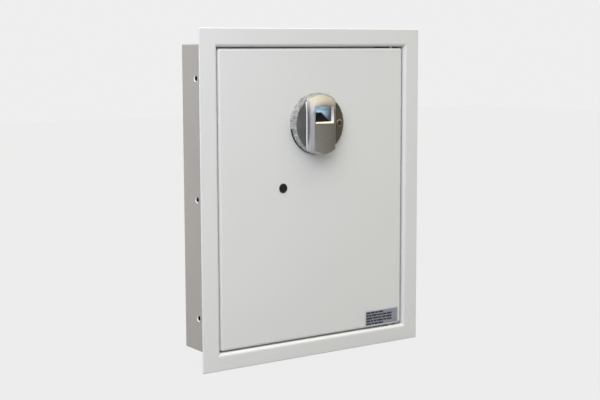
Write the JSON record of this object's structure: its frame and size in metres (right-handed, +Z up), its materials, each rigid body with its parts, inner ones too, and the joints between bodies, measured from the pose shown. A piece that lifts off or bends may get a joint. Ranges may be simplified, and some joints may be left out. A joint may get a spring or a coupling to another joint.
{
  "type": "wall safe",
  "caption": "Recessed sheet-steel wall safe with a trim flange, a right-hung door, a round turn knob with fingerprint reader, live bolts, a capped emergency key lock and a battery box.",
  "frame": {"origin": "centre of the back plate's outer face", "axes": "+Y out of the back into the wall, +Z up, +X to the right as the door is faced"},
  "size_m": [0.4, 0.1035, 0.497],
  "materials": {
    "trim_paint": "off-white powder coat, fine texture, semi-matt",
    "body_paint": "warm grey powder coat, fine texture, matt",
    "zinc_plate": "bright zinc plate",
    "steel": "turned steel",
    "cast_silver": "silver die casting, satin",
    "dark_metal": "dark grey metallic, brushed",
    "chrome": "polished plating",
    "reader_glass": "black optical window, gloss",
    "brass": "turned brass",
    "black_plastic": "moulded black plastic",
    "red_plastic": "moulded red plastic",
    "board": "green solder mask",
    "cell_sleeve": "printed metal sleeve, plain",
    "rubber": "black rubber",
    "felt": "grey needle felt",
    "label_foil": "silver foil label, plain bars"
  },
  "bodies": {
    "cabinet": {"body_wrap": "body_paint", "back_plate": "body_paint", "front_flange": "trim_paint", "door_stop_upper": "trim_paint", "door_stop_lower": "trim_paint", "hinge_bush_top": "zinc_plate", "hinge_bush_bottom": "zinc_plate", "thrust_washer": "zinc_plate", "door_buffer_upper": "rubber", "door_buffer_lower": "rubber", "shelf_lower": "trim_paint", "shelf_upper": "trim_paint", "shelf_rail_left": "zinc_plate", "shelf_rail_right": "zinc_plate", "floor_mat": "felt"},
    "door": {"door_skin": "trim_paint", "hinge_block_top": "zinc_plate", "hinge_block_bottom": "zinc_plate", "hinge_pin_top": "steel", "hinge_pin_bottom": "steel", "bolt_guide": "zinc_plate", "guide_post_upper": "steel", "guide_post_lower": "steel", "rating_label": "label_foil", "spindle_bush": "brass", "solenoid_frame": "zinc_plate", "plunger_spring": "steel", "key_barrel": "brass", "mechanism_cover": "trim_paint", "cover_screw_1": "steel", "cover_screw_2": "steel", "cover_screw_3": "steel", "cover_screw_4": "steel", "circuit_board": "board", "battery_box": "black_plastic", "battery_cell_1": "cell_sleeve", "battery_cell_2": "cell_sleeve", "battery_cell_3": "cell_sleeve", "battery_cell_4": "cell_sleeve", "reader_cable": "rubber", "battery_cable": "rubber"},
    "knob": {"knob_rim": "cast_silver", "knob_disc": "dark_metal", "knob_grip": "cast_silver", "sensor_bezel": "chrome", "sensor_glass": "reader_glass", "status_ring": "chrome", "status_lens": "reader_glass", "knob_spindle": "steel", "drive_crank": "steel"},
    "bolt_carriage": {"bolt_bar": "zinc_plate", "bolt_lower": "steel", "bolt_middle": "steel", "bolt_upper": "steel"},
    "plunger": {"solenoid_plunger": "steel"},
    "key_core": {"key_plug": "brass", "key_cam": "zinc_plate"},
    "cap": {"keyhole_cap": "black_plastic"},
    "button": {"reset_button": "red_plastic"},
    "lid": {"battery_lid": "black_plastic"}
  },
  "joints": [
    {"name": "door_hinge", "type": "hinge", "parent": "cabinet", "child": "door", "pos_m": [0.152, -0.072, 0], "axis": [0, 0, 1], "range_deg": [0, 110]},
    {"name": "knob_turn", "type": "hinge", "parent": "door", "child": "knob", "pos_m": [0.002, -0.08, 0.10675], "axis": [0, -1, 0], "range_deg": [0, 60]},
    {"name": "bolt_throw", "type": "slide", "parent": "door", "child": "bolt_carriage", "axis": [-1, 0, 0], "range_m": [0, 0.01]},
    {"name": "plunger_pull", "type": "slide", "parent": "door", "child": "plunger", "axis": [0, 0, -1], "range_m": [0, 0.004], "stiffness_N_per_m": 50, "springref_m": -0.004, "deforming": ["plunger_spring"]},
    {"name": "key_turn", "type": "hinge", "parent": "door", "child": "key_core", "pos_m": [-0.0575, -0.08, 0.0125], "axis": [0, -1, 0], "range_deg": [0, 90]},
    {"name": "cap_pull", "type": "slide", "parent": "door", "child": "cap", "axis": [0, -1, 0], "range_m": [0, 0.012]},
    {"name": "button_press", "type": "slide", "parent": "door", "child": "button", "axis": [0, -1, 0], "range_m": [0, 0.0015], "stiffness_N_per_m": 200, "springref_m": -0.001},
    {"name": "lid_slide", "type": "slide", "parent": "door", "child": "lid", "axis": [-1, 0, 0], "range_m": [0, 0.062]}
  ],
  "couplings": [
    {"joint": "bolt_throw", "follows": "knob_turn", "m_per_rad": 0.0095493}
  ]
}
